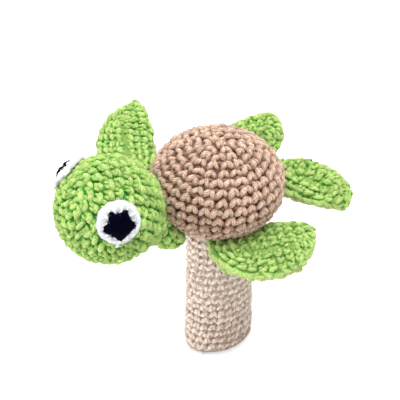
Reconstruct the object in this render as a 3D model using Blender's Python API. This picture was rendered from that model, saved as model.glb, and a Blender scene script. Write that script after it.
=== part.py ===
"""Crocheted turtle finger puppet, modelled in metres with +Z up.

The origin is the middle of the finger opening, at the lower rim of the finger tube.
The turtle looks along -Y, and its left side is +X.
"""
import math

import bmesh
import bpy
import numpy as np
from mathutils import Matrix, Vector

# Gauge of the crochet
ROW_HEIGHT = 0.0038      # one round of stitches to the next
STITCH_WIDTH = 0.0038    # one stitch to the next along a round
STUFFED_STITCH = 0.0047  # the same where stuffing stretches the fabric
STITCH_RELIEF = 0.0006   # how far stitches stand out, and the grooves between them sink in
STITCH_SADDLE = 0.15     # how far the fabric sinks between two stitches of a round, as a share
ROUND_SLIDE = 0.5        # how far each round's stitches slide past the last ones, in stitches
FEWEST_STITCHES = 5      # in the first round at a closed end
FABRIC = 0.0025          # thickness of the crocheted fabric

# Clearances
SEAM_GAP = 0.0003        # between pieces that are sewn face to face
FILLING_GAP = 0.0006     # between the filling and the fabric round it
STAR_GAP = 0.0005        # between the slanting edges of the pupil's star and the white round

# Finger tube
TUBE_LENGTH = 0.0655
TUBE_HALF_DEPTH = 0.0148   # front to back
TUBE_HALF_WIDTH = 0.0106   # side to side
TUBE_SHOULDER = 0.004      # rounding of the closed end under the belly
TUBE_TAPER = 0.0009        # how much less the half width is at the closed end than at the mouth

# Shell and belly
SHELL_RADIUS = 0.0256
SHELL_FORWARD = 0.0013   # middle of the shell in front of the tube's
SHELL_RISE = 0.0188      # widest round up to the top
SHELL_DROP = 0.0125      # widest round down to the rim
BELLY_BULGE = 0.0018     # how far the belly's middle hangs below its edge

# Head and neck
HEAD_RADIUS = 0.0199
HEAD_FORWARD = 0.0483    # middle of the head in front of the shell's middle
HEAD_LIFT = 0.0073       # middle of the head above the shell's widest round
NECK_FORWARD = 0.0226    # middle of the neck's rounded end
NECK_LOWER = 0.0137      # the same point below the shell's widest round
NECK_RADIUS = 0.0066
NECK_END_RADIUS = 0.0072
NECK_START_ANGLE = 125.0   # degrees from the nose, where the ball turns into the neck

# Eyes
EYE_RADIUS = 0.0081
EYE_STAND = 0.0036       # crown of an eye above the head
EYE_RIM = 0.0018         # edge of an eye above the head
PUPIL_RADIUS = 0.0056    # to the points of its star
PUPIL_LOW = 0.0008       # how far the star sits below the middle of the eye
STAR_DEPTH = 0.30        # how far the star cuts in between its points, as a share
STAR_POINTS = 5
STAR_DOWN = 0.9          # turn of the star's point that faces down
LEFT_GAZE = (0.869, -0.288, 0.403)     # direction from the head's middle to each eye
RIGHT_GAZE = (-0.770, -0.376, 0.516)

# Flippers
FLIPPER_THICKNESS = 0.0052
FLIPPER_SECTION = 2.6    # exponent of the section: 2 is an oval, more is squarer
FRONT_LEFT_LENGTH = 0.0425
FRONT_RIGHT_LENGTH = 0.0485
FRONT_ROUND_WIDTH = 0.0195     # spine line to the rounded edge
FRONT_STRAIGHT_WIDTH = 0.0044  # spine line to the straight edge
REAR_LENGTH = 0.0340
REAR_ROUND_WIDTH = 0.0135
REAR_STRAIGHT_WIDTH = 0.0062
LEAF_POWER = 0.82        # below 1 the leaf is blunter than an oval
SPINE_MARGIN = 0.85      # where the innermost round ends, in half widths from the root and the tip
SPINE_START = 0.06       # where the rounds start beside the spine, in half widths

# How each flipper is sewn on. A root is in front of, to the left of and above the shell's middle.
# Angles are the heading from the left side towards the back, the pitch up and the roll, in degrees.
FRONT_LEFT_ROOT = (0.0150, 0.0155, -0.0132)
FRONT_LEFT_ANGLES = (72.0, -2.6, 19.0)
FRONT_RIGHT_ROOT = (0.0195, -0.0181, -0.0031)
FRONT_RIGHT_ANGLES = (155.0, 4.8, -20.0)
REAR_LEFT_ROOT = (-0.0236, 0.0009, -0.0064)
REAR_LEFT_ANGLES = (42.4, -12.4, 14.6)
REAR_RIGHT_ROOT = (-0.0106, -0.0209, -0.0032)
REAR_RIGHT_ANGLES = (93.2, 4.5, 23.0)

# Steps of the plain surfaces
PLAIN_SEGMENTS = 20
PLAIN_RINGS = 7
FINE = 160               # samples along an outline or round a ring

# Levels that follow from the sizes above
BELLY_LOW = TUBE_LENGTH + SEAM_GAP + STITCH_RELIEF
SHELL_CENTRE = Vector((0.0, -SHELL_FORWARD, BELLY_LOW + BELLY_BULGE + SHELL_DROP))
HEAD_CENTRE = SHELL_CENTRE + Vector((0.0, -HEAD_FORWARD, HEAD_LIFT))
NECK_END = SHELL_CENTRE + Vector((0.0, -NECK_FORWARD, -NECK_LOWER))


def clear_scene():
    for item in list(bpy.data.objects):
        bpy.data.objects.remove(item, do_unlink=True)


def yarn(name, colour, roughness=0.9):
    material = bpy.data.materials.new(name)
    material.use_nodes = True
    shader = material.node_tree.nodes["Principled BSDF"]
    shader.inputs["Base Color"].default_value = (*colour, 1.0)
    shader.inputs["Roughness"].default_value = roughness
    shader.inputs["Metallic"].default_value = 0.0
    return material


# Profiles: lists of (distance from the axis, height), from the top down

def along(profile, distances):
    """Points of a profile at the given distances along it."""
    steps = np.linalg.norm(np.diff(profile, axis=0), axis=1)
    reach = np.concatenate([[0.0], np.cumsum(steps)])
    return np.stack([np.interp(distances, reach, profile[:, side]) for side in (0, 1)], axis=1)


def profile_length(profile):
    return float(np.linalg.norm(np.diff(profile, axis=0), axis=1).sum())


def oval_arc(radius, rise, start, end):
    """Part of an oval, from one angle above the widest round to another."""
    angles = np.linspace(math.radians(start), math.radians(end), FINE)
    return np.stack([radius * np.cos(angles), rise * np.sin(angles)], axis=1)


def bezier(start, start_handle, end_handle, end):
    t = np.linspace(0.0, 1.0, FINE)[:, None]
    points = [np.array(p) for p in (start, start_handle, end_handle, end)]
    weights = [(1 - t) ** 3, 3 * t * (1 - t) ** 2, 3 * t ** 2 * (1 - t), t ** 3]
    return sum(weight * point for weight, point in zip(weights, points))


def joined(*pieces):
    """One profile from several that follow each other."""
    points = np.concatenate(pieces)
    steps = np.linalg.norm(np.diff(points, axis=0), axis=1)
    return points[np.concatenate([[True], steps > 1e-7])]


def inset(profile, depth):
    """The profile moved inwards, square to itself."""
    slope = np.gradient(profile, axis=0)
    slope /= np.linalg.norm(slope, axis=1)[:, None]
    moved = profile - depth * np.stack([-slope[:, 1], slope[:, 0]], axis=1)
    moved[:, 0] = np.maximum(moved[:, 0], 0.0)
    return moved


# Rings: lists of (turn, point), where turn runs once from 0 to 1 round the piece

def turned(radius, height, turn):
    """Placement for a round piece."""
    angle = math.tau * turn
    return Vector((radius * math.cos(angle), radius * math.sin(angle), height))


def ring_point(place, profile, distance, turn, lift):
    """A point of the surface, lifted off it by a little."""
    length = profile_length(profile)
    step = 0.0001
    near, here, far = along(profile, np.clip([distance - step, distance, distance + step], 0, length))
    point = place(here[0], here[1], turn)
    if lift == 0.0:
        return point
    down = place(far[0], far[1], turn) - place(near[0], near[1], turn)
    around = place(here[0], here[1], turn + 0.002) - place(here[0], here[1], turn - 0.002)
    return point + lift * down.cross(around).normalized()


def even_turns(place, profile, distance, count, start):
    """Turns that divide the ring at one distance into equal lengths, and the ring's girth."""
    turns = np.linspace(0.0, 1.0, FINE + 1)
    u, v = along(profile, [distance])[0]
    loop = np.array([place(u, v, turn) for turn in turns])
    steps = np.linalg.norm(np.diff(loop, axis=0), axis=1)
    reach = np.concatenate([[0.0], np.cumsum(steps)])
    girth = float(reach[-1])
    if count == 0:
        return [], girth
    wanted = (start + np.arange(count)) / count % 1.0 * girth
    return [float(turn) for turn in np.interp(wanted, reach, turns)], girth


def plain_ring(place, profile, distance, count):
    turns, girth = even_turns(place, profile, distance, count, 0.0)
    if girth < 1e-6:
        return [(0.0, ring_point(place, profile, distance, 0.0, 0.0))]
    return [(turn, ring_point(place, profile, distance, turn, 0.0)) for turn in turns]


def plain_rings(place, profile, rings=PLAIN_RINGS, count=PLAIN_SEGMENTS):
    """A smooth surface along a profile."""
    length = profile_length(profile)
    return [plain_ring(place, profile, length * step / rings, count) for step in range(rings + 1)]


def crochet_rings(place, profile, stitch=STITCH_WIDTH):
    """Rounds of single crochet along a profile: a crest of bumps for each, with grooves between.

    The number of rounds, and of stitches in each, follows from the gauge.
    """
    length = profile_length(profile)
    rounds = max(1, round(length / ROW_HEIGHT))
    pitch = length / rounds
    rings = []
    counts = []
    for number in range(rounds):
        _, girth = even_turns(place, profile, (number + 0.5) * pitch, 0, 0.0)
        counts.append(max(FEWEST_STITCHES, round(girth / stitch)))
    rings.append(plain_ring(place, profile, 0.0, counts[0]))
    for number, count in enumerate(counts):
        slide = number * ROUND_SLIDE
        if number > 0:
            groove = number * pitch
            turns, _ = even_turns(place, profile, groove, count, slide + 0.5)
            rings.append([(turn, ring_point(place, profile, groove, turn, -STITCH_RELIEF))
                          for turn in turns])
        crest = (number + 0.5) * pitch
        turns, _ = even_turns(place, profile, crest, 2 * count, 2 * slide)
        ring = []
        for index, turn in enumerate(turns):
            lift = STITCH_RELIEF if index % 2 == 0 else -STITCH_SADDLE * STITCH_RELIEF
            ring.append((turn, ring_point(place, profile, crest, turn, lift)))
        rings.append(ring)
    rings.append(plain_ring(place, profile, length, counts[-1]))
    return rings


def zip_rings(mesh, lower, upper):
    """Triangles between two rings of any number of vertices, in order of their turns."""
    if len(lower) == 1 and len(upper) == 1:
        return
    if len(upper) == 1:
        lower, upper = upper, lower
    if len(lower) == 1:
        tip = lower[0][1]
        for index in range(len(upper)):
            mesh.faces.new((tip, upper[index][1], upper[(index + 1) % len(upper)][1]))
        return
    begin = lower[0][0]
    offsets = [(turn - begin + 0.5) % 1.0 - 0.5 for turn, _ in upper]
    first = min(range(len(upper)), key=lambda index: abs(offsets[index]))
    a_turns = [(turn - begin) % 1.0 for turn, _ in lower] + [1.0]
    b_turns = [offsets[first] + (upper[(first + index) % len(upper)][0] - upper[first][0]) % 1.0
               for index in range(len(upper))] + [offsets[first] + 1.0]
    a = b = 0
    while a < len(lower) or b < len(upper):
        a_vert = lower[a % len(lower)][1]
        b_vert = upper[(first + b) % len(upper)][1]
        if b == len(upper) or (a < len(lower) and a_turns[a + 1] <= b_turns[b + 1]):
            mesh.faces.new((a_vert, lower[(a + 1) % len(lower)][1], b_vert))
            a += 1
        else:
            mesh.faces.new((a_vert, upper[(first + b + 1) % len(upper)][1], b_vert))
            b += 1


def loft(name, rings, material, closed=False):
    """A closed body through a list of rings, with its open ends filled."""
    mesh = bmesh.new()
    loops = []
    for ring in rings:
        order = sorted(ring, key=lambda entry: entry[0])
        loops.append([(turn, mesh.verts.new(point)) for turn, point in order])
    for lower, upper in zip(loops, loops[1:]):
        zip_rings(mesh, lower, upper)
    if closed:
        zip_rings(mesh, loops[-1], loops[0])
    else:
        for loop in (loops[0], loops[-1]):
            if len(loop) > 2:
                mesh.faces.new([vert for _, vert in loop])
    bmesh.ops.triangulate(mesh, faces=mesh.faces[:])
    bmesh.ops.recalc_face_normals(mesh, faces=mesh.faces[:])
    data = bpy.data.meshes.new(name)
    mesh.to_mesh(data)
    mesh.free()
    data.shade_smooth()
    if material:
        data.materials.append(material)
    piece = bpy.data.objects.new(name, data)
    bpy.context.scene.collection.objects.link(piece)
    return piece


def cut_by(piece, cutter):
    """Trim a piece where its carrier is."""
    seat = piece.modifiers.new("seat", "BOOLEAN")
    seat.operation = "DIFFERENCE"
    seat.solver = "EXACT"
    seat.use_self = True
    seat.object = cutter


def as_cutter(piece):
    piece.hide_render = True
    piece.display_type = "WIRE"
    return piece


# Shell, belly and their filling

def shell_profile(inward, drop=SHELL_DROP):
    """Outside of the shell, or a layer further in, from its top down."""
    radius = SHELL_RADIUS - inward
    rise = SHELL_RISE - inward
    return oval_arc(radius, rise, 90.0, -math.degrees(math.asin(drop / rise)))


def belly_profile(radius):
    """Lower side of the belly, turned over: from its middle to its edge."""
    radii = np.linspace(0.0, radius, FINE)
    return np.stack([radii, -BELLY_BULGE * (radii / radius) ** 4], axis=1)


def make_shell(material):
    outside = crochet_rings(turned, shell_profile(0.0), STUFFED_STITCH)
    inside = plain_rings(turned, shell_profile(FABRIC))
    shell = loft("shell", outside + inside[::-1], material)
    shell.location = SHELL_CENTRE
    return shell


def make_belly(material):
    """Disc that closes the shell, sewn in just inside its rim."""
    edge = shell_profile(FABRIC)[-1, 0] - SEAM_GAP
    top = np.array([[edge, -BELLY_BULGE - FABRIC], [0.0, -BELLY_BULGE - FABRIC]])
    rings = crochet_rings(turned, belly_profile(edge)) + [plain_ring(turned, top, 0.0, PLAIN_SEGMENTS)]
    belly = loft("belly", rings, material)
    belly.rotation_euler.x = math.pi
    belly.location = (0.0, SHELL_CENTRE.y, BELLY_LOW)
    return belly


def make_shell_stuffing(material):
    """Filling between the shell and the belly."""
    layer = shell_profile(FABRIC + FILLING_GAP, SHELL_DROP - FABRIC - FILLING_GAP)
    stuffing = loft("shell_stuffing", plain_rings(turned, layer), material)
    stuffing.location = SHELL_CENTRE
    return stuffing


def make_body_envelope():
    """Shell and belly as one smooth body, a seam's gap larger all round, to cut the seats with."""
    room = STITCH_RELIEF + SEAM_GAP
    upper = shell_profile(-room)
    under = belly_profile(upper[-1, 0])[::-1] * np.array([1.0, -1.0])
    under[:, 1] += BELLY_LOW - room - SHELL_CENTRE.z
    rings = plain_rings(turned, upper, rings=12, count=36)
    rings += plain_rings(turned, under, rings=6, count=36)
    envelope = as_cutter(loft("body_envelope", rings, None))
    envelope.location = SHELL_CENTRE
    return envelope


# Finger tube

def oval(radius, height, turn):
    """Placement for the tube, where the radius is measured across the turtle."""
    point = turned(radius, height, turn)
    point.y *= TUBE_HALF_DEPTH / TUBE_HALF_WIDTH
    return point


def tube_profile(inward):
    """Outside or inside of the tube, from the middle of its closed end to its mouth."""
    mouth = TUBE_HALF_WIDTH - inward
    radius = mouth - TUBE_TAPER
    top = TUBE_LENGTH - inward
    shoulder = TUBE_SHOULDER * radius / TUBE_HALF_WIDTH
    corner = bezier((radius - shoulder, top), (radius, top), (radius, top), (radius, top - shoulder))
    return joined(np.array([[0.0, top]]), corner, np.array([[mouth, 0.0]]))


def make_finger_tube(material):
    outside = tube_profile(0.0)
    flat = (TUBE_HALF_WIDTH - TUBE_TAPER) * (1.0 - TUBE_SHOULDER / TUBE_HALF_WIDTH)
    wall_length = profile_length(outside) - flat
    wall = along(outside, np.linspace(flat, flat + wall_length, FINE))
    outer = [plain_ring(oval, outside, 0.0, 1)] + crochet_rings(oval, wall)
    inner = plain_rings(oval, tube_profile(FABRIC))
    return loft("finger_tube", outer + inner[::-1], material)


# Head, neck and eyes

def head_profile():
    """Ball, neck and rounded neck end, from the nose to the end that is sewn to the body."""
    start = math.radians(NECK_START_ANGLE)
    ball = oval_arc(HEAD_RADIUS, HEAD_RADIUS, 90.0, 90.0 - NECK_START_ANGLE)
    leave = Vector((HEAD_RADIUS * math.sin(start), HEAD_RADIUS * math.cos(start)))
    slope = Vector((math.cos(start), -math.sin(start)))
    end = -(HEAD_CENTRE - NECK_END).length
    waist = Vector((NECK_RADIUS, end + NECK_END_RADIUS))
    run = (leave - waist).length
    taper = bezier(leave, leave + slope * run * 0.5, waist + Vector((0.0, run * 0.2)), waist)
    bulge = bezier(waist, waist - Vector((0.0, NECK_END_RADIUS * 0.3)),
                   (NECK_END_RADIUS, end + NECK_END_RADIUS * 0.4), (NECK_END_RADIUS, end))
    tip = oval_arc(NECK_END_RADIUS, NECK_END_RADIUS, 0.0, -90.0) + np.array([0.0, end])
    return joined(ball, taper, bulge, tip)


def place_head(piece):
    piece.location = HEAD_CENTRE
    piece.rotation_euler = (HEAD_CENTRE - NECK_END).to_track_quat("Z", "X").to_euler()


def make_head(material, body):
    profile = head_profile()
    outside = crochet_rings(turned, profile, STUFFED_STITCH)
    inside = plain_rings(turned, inset(profile, FABRIC), rings=10, count=16)
    head = loft("head", outside, material)
    cavity = as_cutter(loft("head_cavity", inside, None))
    for piece in (head, cavity):
        place_head(piece)
    cut_by(head, cavity)
    cut_by(head, body)
    return head


def make_head_stuffing(material, body):
    rings = plain_rings(turned, inset(head_profile(), FABRIC + FILLING_GAP), rings=10, count=16)
    stuffing = loft("head_stuffing", rings, material)
    place_head(stuffing)
    cut_by(stuffing, body)
    return stuffing


def star(turn):
    """Edge of the pupil's star from the eye's middle: far at its points, nearer between them."""
    wave = (STAR_POINTS * turn + 0.5) % 1.0
    radius = PUPIL_RADIUS * (1.0 - STAR_DEPTH * (1.0 - abs(2.0 * wave - 1.0)))
    return radius + PUPIL_LOW * math.cos(math.tau * (turn - STAR_DOWN))


def on_head(distance, height, turn):
    """Placement on the ball of the head: distance from the eye's middle, height above the ball."""
    tilt = distance / HEAD_RADIUS
    point = turned(math.sin(tilt), math.cos(tilt), turn)
    return point * (HEAD_RADIUS + height)


def eye_height(distance):
    """Outer face of an eye: highest in the middle, low at the rim."""
    share = min(distance / EYE_RADIUS, 1.0)
    return EYE_RIM + (EYE_STAND - EYE_RIM) * (1.0 - share ** 2)


def in_pupil(share, height, turn):
    """Placement in the pupil: share of the way from its middle to the star's edge."""
    distance = share * star(turn)
    return on_head(distance, height + eye_height(distance), turn)


def in_ring(share, height, turn):
    """Placement in the white round: share of the way from the star to the eye's edge."""
    inner = star(turn) + STAR_GAP
    distance = inner + share * (EYE_RADIUS - inner)
    return on_head(distance, height + eye_height(distance), turn)


def eye_back(place, share, count):
    """A ring on the back of an eye, just clear of the head's stitches."""
    ring = []
    for index in range(count):
        turn = index / count
        outward = place(share, 0.0, turn).normalized()
        ring.append((turn, outward * (HEAD_RADIUS + STITCH_RELIEF + SEAM_GAP)))
    return ring


def edge_ring(place, share, count):
    return [(index / count, place(share, 0.0, index / count)) for index in range(count)]


def place_eye(piece, gaze):
    """Put an eye where it looks along a direction, with one point of its star down."""
    turn = Matrix.Rotation(-math.tau * (STAR_DOWN - 0.75), 3, "Z")
    piece.location = HEAD_CENTRE
    piece.rotation_euler = (Vector(gaze).to_track_quat("Z", "Y").to_matrix() @ turn).to_euler()


def make_eye(gaze, name, white, black):
    corners = 2 * STAR_POINTS
    crest = []
    for index in range(2 * corners):
        turn = index / (2 * corners)
        lift = STITCH_RELIEF if index % 2 else 0.0
        crest.append((turn, in_ring(0.55, lift, turn)))
    scallop = []
    for index in range(2 * corners):
        turn = index / (2 * corners)
        share = 1.0 if index % 2 else 0.86
        scallop.append((turn, in_ring(share, 0.0, turn)))
    rings = [edge_ring(in_ring, 0.0, corners), crest, scallop]
    rings += [eye_back(in_ring, 0.9, corners), eye_back(in_ring, 0.0, corners)]
    ring = loft("eye_ring_" + name, rings, white, closed=True)
    place_eye(ring, gaze)

    middle = [(0.0, in_pupil(0.0, 0.0, 0.0))]
    ridges = []
    for index in range(corners):
        turn = index / corners
        lift = STITCH_RELIEF if index % 2 == 0 else 0.0
        ridges.append((turn, in_pupil(0.55, lift, turn)))
    rings = [middle, ridges, edge_ring(in_pupil, 1.0, corners), eye_back(in_pupil, 1.0, corners)]
    pupil = loft("eye_pupil_" + name, rings, black)
    place_eye(pupil, gaze)


# Flippers

def leaf(length, upper_width, lower_width):
    """Placement for a flat leaf, its root at the origin and its tip along +X.

    The two edges are at different distances from the line from root to tip. The rounds run
    round a spine midway between the edges.
    """
    half_width = (upper_width + lower_width) / 2

    def bow(share):
        return max(4.0 * share * (1.0 - share), 0.0) ** (LEAF_POWER / 2)

    def place(distance, height, turn):
        lengthways = math.cos(math.tau * turn)
        sideways = math.sin(math.tau * turn)
        edge = Vector(((1.0 + lengthways) / 2 * length, 0.0, height))
        width = upper_width if sideways > 0 else lower_width
        edge.y = math.copysign(width * bow(edge.x / length), sideways)
        spine = Vector((length / 2 + (length / 2 - SPINE_MARGIN * half_width) * lengthways, 0.0, height))
        spine.y = (upper_width - lower_width) / 2 * bow(spine.x / length)
        return spine.lerp(edge, distance / half_width)

    return place, half_width


def leaf_section(half_width):
    """Half of a flipper's section: from the middle of its top, round the edge, to its underside."""
    angles = np.linspace(math.radians(90.0), math.radians(-90.0), FINE)
    power = 2.0 / FLIPPER_SECTION
    across = half_width * np.abs(np.cos(angles)) ** power
    height = FLIPPER_THICKNESS / 2 * np.sign(np.sin(angles)) * np.abs(np.sin(angles)) ** power
    return np.stack([across, height], axis=1)


def make_flipper(name, shape, root, angles, material, body):
    """A flipper of the given length and edge distances, sewn on at its root."""
    place, half_width = leaf(*shape)
    section = leaf_section(half_width)
    start = SPINE_START * half_width
    rounds = along(section, np.linspace(start, profile_length(section) - start, FINE))
    flipper = loft(name, crochet_rings(place, rounds), material)
    forward, left, up = root
    heading, pitch, roll = (math.radians(angle) for angle in angles)
    flipper.location = SHELL_CENTRE + Vector((left, -forward, up))
    turn = (Matrix.Rotation(heading, 3, "Z") @ Matrix.Rotation(-pitch, 3, "Y")
            @ Matrix.Rotation(roll, 3, "X"))
    flipper.rotation_euler = turn.to_euler()
    cut_by(flipper, body)


def build():
    clear_scene()
    shell_yarn = yarn("shell_yarn", (0.47, 0.30, 0.22))
    tube_yarn = yarn("tube_yarn", (0.60, 0.45, 0.36))
    green_yarn = yarn("green_yarn", (0.27, 0.52, 0.13))
    white_yarn = yarn("white_yarn", (0.86, 0.88, 0.84))
    black_yarn = yarn("black_yarn", (0.004, 0.005, 0.020))
    fibre = yarn("stuffing_fibre", (0.88, 0.88, 0.86), 1.0)

    body = make_body_envelope()
    make_shell(shell_yarn)
    make_belly(shell_yarn)
    make_shell_stuffing(fibre)
    make_finger_tube(tube_yarn)
    make_head(green_yarn, body)
    make_head_stuffing(fibre, body)
    for gaze, name in ((LEFT_GAZE, "left"), (RIGHT_GAZE, "right")):
        make_eye(gaze, name, white_yarn, black_yarn)

    front_edges = (FRONT_ROUND_WIDTH, FRONT_STRAIGHT_WIDTH)
    rear_edges = (REAR_ROUND_WIDTH, REAR_STRAIGHT_WIDTH)
    make_flipper("flipper_front_left", (FRONT_LEFT_LENGTH, *front_edges[::-1]),
                 FRONT_LEFT_ROOT, FRONT_LEFT_ANGLES, green_yarn, body)
    make_flipper("flipper_front_right", (FRONT_RIGHT_LENGTH, *front_edges),
                 FRONT_RIGHT_ROOT, FRONT_RIGHT_ANGLES, green_yarn, body)
    make_flipper("flipper_rear_left", (REAR_LENGTH, *rear_edges),
                 REAR_LEFT_ROOT, REAR_LEFT_ANGLES, green_yarn, body)
    make_flipper("flipper_rear_right", (REAR_LENGTH, *rear_edges[::-1]),
                 REAR_RIGHT_ROOT, REAR_RIGHT_ANGLES, green_yarn, body)


build()
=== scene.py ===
import math

import bmesh
import bpy
import numpy as np
from mathutils import Matrix, Vector


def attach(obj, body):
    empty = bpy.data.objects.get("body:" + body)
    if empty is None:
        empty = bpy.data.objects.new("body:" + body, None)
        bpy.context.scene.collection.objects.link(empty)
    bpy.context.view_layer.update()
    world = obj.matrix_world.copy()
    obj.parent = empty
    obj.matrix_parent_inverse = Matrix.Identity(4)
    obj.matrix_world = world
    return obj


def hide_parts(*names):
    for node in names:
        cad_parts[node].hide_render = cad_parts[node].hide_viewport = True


# Crocheted turtle finger puppet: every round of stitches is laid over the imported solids.
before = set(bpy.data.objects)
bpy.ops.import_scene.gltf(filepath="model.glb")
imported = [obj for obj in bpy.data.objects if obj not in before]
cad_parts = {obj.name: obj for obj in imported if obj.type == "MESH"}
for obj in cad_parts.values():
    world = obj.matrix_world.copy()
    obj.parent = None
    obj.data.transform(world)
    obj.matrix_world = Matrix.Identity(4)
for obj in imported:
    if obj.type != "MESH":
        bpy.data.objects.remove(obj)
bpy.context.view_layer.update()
print("frame loaded:", len(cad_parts), "nodes")

gauge = {
    "row": 0.0038,         # one round to the next
    "stitch": 0.0047,      # one stitch to the next where stuffing stretches the fabric
    "fewest": 6,           # stitches in the ring that a ball starts from
    "narrowest": 0.55,     # share of its full width that a stitch in that ring keeps
    "first": 0.52,         # rounds from the middle out to the first stitch
    "last": 0.45,          # share of a round left bare at the end
    "samples": 64,         # steps round a loop when its girth is measured
    "probe": 0.0002,       # step along a surface when its slope is measured
    "probeTurn": 0.003,    # the same step round it, in turns
}
fineness = {"arc": 160, "curve": 80, "section": 120}

bodyShape = {
    "centre": Vector((0.0, -0.0013, 0.0807)),
    "radius": 0.0256,
    "rise": 0.0188,      # widest round up to the top
    "drop": 0.0125,      # widest round down to the rim
    "bulge": 0.0018,     # middle of the belly below its edge
    "fabric": 0.0025,
    "margin": 0.0004,    # room round the body in which no other piece has stitches
    "under": 0.001,      # the same room below its rim
}


# Node helpers

def addNode(tree, kind, inputs=None, **settings):
    node = tree.nodes.new(kind)
    for name, value in settings.items():
        setattr(node, name, value)
    for key, value in (inputs or {}).items():
        socket = node.inputs[key]
        if isinstance(value, bpy.types.NodeSocket):
            tree.links.new(value, socket)
        else:
            socket.default_value = value
    return node


def newTree(name, kind, inputs, outputs):
    tree = bpy.data.node_groups.new(name, kind)
    for label, socketType, value in inputs:
        socket = tree.interface.new_socket(label, in_out="INPUT", socket_type=socketType)
        if value is not None:
            socket.default_value = value
    for label, socketType in outputs:
        tree.interface.new_socket(label, in_out="OUTPUT", socket_type=socketType)
    return tree, tree.nodes.new("NodeGroupInput"), tree.nodes.new("NodeGroupOutput")


def setInput(modifier, label, value):
    # modifiers know a tree's inputs by identifier, not by name
    for item in modifier.node_group.interface.items_tree:
        if item.item_type == "SOCKET" and item.in_out == "INPUT" and item.name == label:
            modifier[item.identifier] = value
            return
    raise KeyError(label)


def newMaterial(name):
    material = bpy.data.materials.new(name)
    material.use_nodes = True
    return material, material.node_tree, material.node_tree.nodes["Principled BSDF"]


def maths(tree, operation, first, second=0.0):
    return addNode(tree, "ShaderNodeMath", {0: first, 1: second}, operation=operation).outputs[0]


def times(tree, first, second):
    return addNode(tree, "ShaderNodeVectorMath", {0: first, 1: second}, operation="MULTIPLY").outputs[0]


def mixed(tree, factor, first, second, blend="MIX"):
    # sockets 6 and 7 are the mix node's two colours
    return addNode(tree, "ShaderNodeMix", {"Factor": factor, 6: first, 7: second},
                   data_type="RGBA", blend_type=blend).outputs[2]


def ranged(tree, value, low, high, toLow=0.0, toHigh=1.0):
    return addNode(tree, "ShaderNodeMapRange",
                   {"Value": value, "From Min": low, "From Max": high, "To Min": toLow, "To Max": toHigh},
                   interpolation_type="SMOOTHSTEP").outputs["Result"]


def swing(tree, value, amount):
    # how far a value of 0 to 1 stands from its middle, times an amount
    return maths(tree, "MULTIPLY", maths(tree, "SUBTRACT", value, 0.5), amount)


def noise(tree, vector, scale, detail, roughness=0.5):
    return addNode(tree, "ShaderNodeTexNoise", {"Vector": vector, "Scale": scale, "Detail": detail,
                                                "Roughness": roughness}).outputs["Fac"]


def rgba(red, green, blue):
    return (red, green, blue, 1.0)


# Surfaces: a point for each distance along a profile and each turn round it

def surfaceFrom(profile, place):
    steps = np.linalg.norm(np.diff(profile, axis=0), axis=1)
    reach = np.concatenate([[0.0], np.cumsum(steps)])

    def surface(distance, turn):
        across = float(np.interp(distance, reach, profile[:, 0]))
        height = float(np.interp(distance, reach, profile[:, 1]))
        return place(across, height, turn)

    return surface, float(reach[-1])


def turned(matrix, squeeze=1.0, hand=1.0):
    def place(radius, height, turn):
        angle = math.tau * turn * hand
        return matrix @ Vector((radius * math.cos(angle), radius * math.sin(angle) * squeeze, height))
    return place


def ovalArc(radius, rise, start, end):
    angles = np.linspace(math.radians(start), math.radians(end), fineness["arc"])
    return np.stack([radius * np.cos(angles), rise * np.sin(angles)], axis=1)


def bezier(*handles):
    t = np.linspace(0.0, 1.0, fineness["curve"])[:, None]
    weights = [(1 - t) ** 3, 3 * t * (1 - t) ** 2, 3 * t ** 2 * (1 - t), t ** 3]
    return sum(weight * np.array(handle, float) for weight, handle in zip(weights, handles))


def loopAt(surface, distance):
    turns = np.linspace(0.0, 1.0, gauge["samples"] + 1)
    points = np.array([surface(distance, float(turn)) for turn in turns])
    steps = np.linalg.norm(np.diff(points, axis=0), axis=1)
    return turns, np.concatenate([[0.0], np.cumsum(steps)])


def stitchFrame(surface, distance, turn):
    # a point of the surface, the way out of it and the way the work grows
    step, twist = gauge["probe"], gauge["probeTurn"]
    point = surface(distance, turn)
    grow = surface(distance + step, turn) - surface(distance - step, turn)
    around = surface(distance, turn + twist) - surface(distance, turn - twist)
    return point, grow.cross(around).normalized(), grow.normalized()


def spiralStitches(surface, length, stitch, row=gauge["row"], spare=0.0, first=gauge["first"]):
    # one stitch after another along a spiral, as crochet in the round is worked
    rounds = max(1, round((length - spare) / row))
    pitch = (length - spare) / rounds
    distance = pitch * first
    worked = 0.0
    found = []
    while distance < length - spare - gauge["last"] * pitch:
        turns, reach = loopAt(surface, distance)
        count = max(gauge["fewest"], reach[-1] / stitch)
        turn = float(np.interp((worked % 1.0) * reach[-1], reach, turns))
        point, out, grow = stitchFrame(surface, distance, turn)
        width = max(reach[-1] / count / gauge["stitch"], gauge["narrowest"])
        found.append((point, out, grow, (width, pitch / gauge["row"], 1.0)))
        worked += 1.0 / count
        distance += pitch / count
    return found


def edgeLinks(surface, distance, chain):
    # links laid head to tail round one loop of a surface, each tipped over by an angle
    turns, reach = loopAt(surface, distance)
    count = max(3, round(reach[-1] / chain["link"]))
    found = []
    for index in range(count):
        start, middle, end = (float(np.interp((index + share) / count * reach[-1], reach, turns))
                              for share in (0.0, 0.5, 1.0))
        _, out, grow = stitchFrame(surface, distance, middle)
        start, end = surface(distance, start), surface(distance, end)
        facing = (out * math.cos(chain["tip"]) + grow * math.sin(chain["tip"])).normalized()
        found.append(((start + end) / 2 - facing * chain["sink"], facing, (end - start).normalized(),
                      (chain["width"], (end - start).length / gauge["row"], chain["width"])))
    return found


def tailAt(surface, distance, turn, size):
    # the end of a yarn, left standing out where the work was fastened off
    point, out, grow = stitchFrame(surface, distance, turn)
    return (point, out, grow, (size, size, size))


# Strands: the lengths of yarn that a stitch is made of

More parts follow.
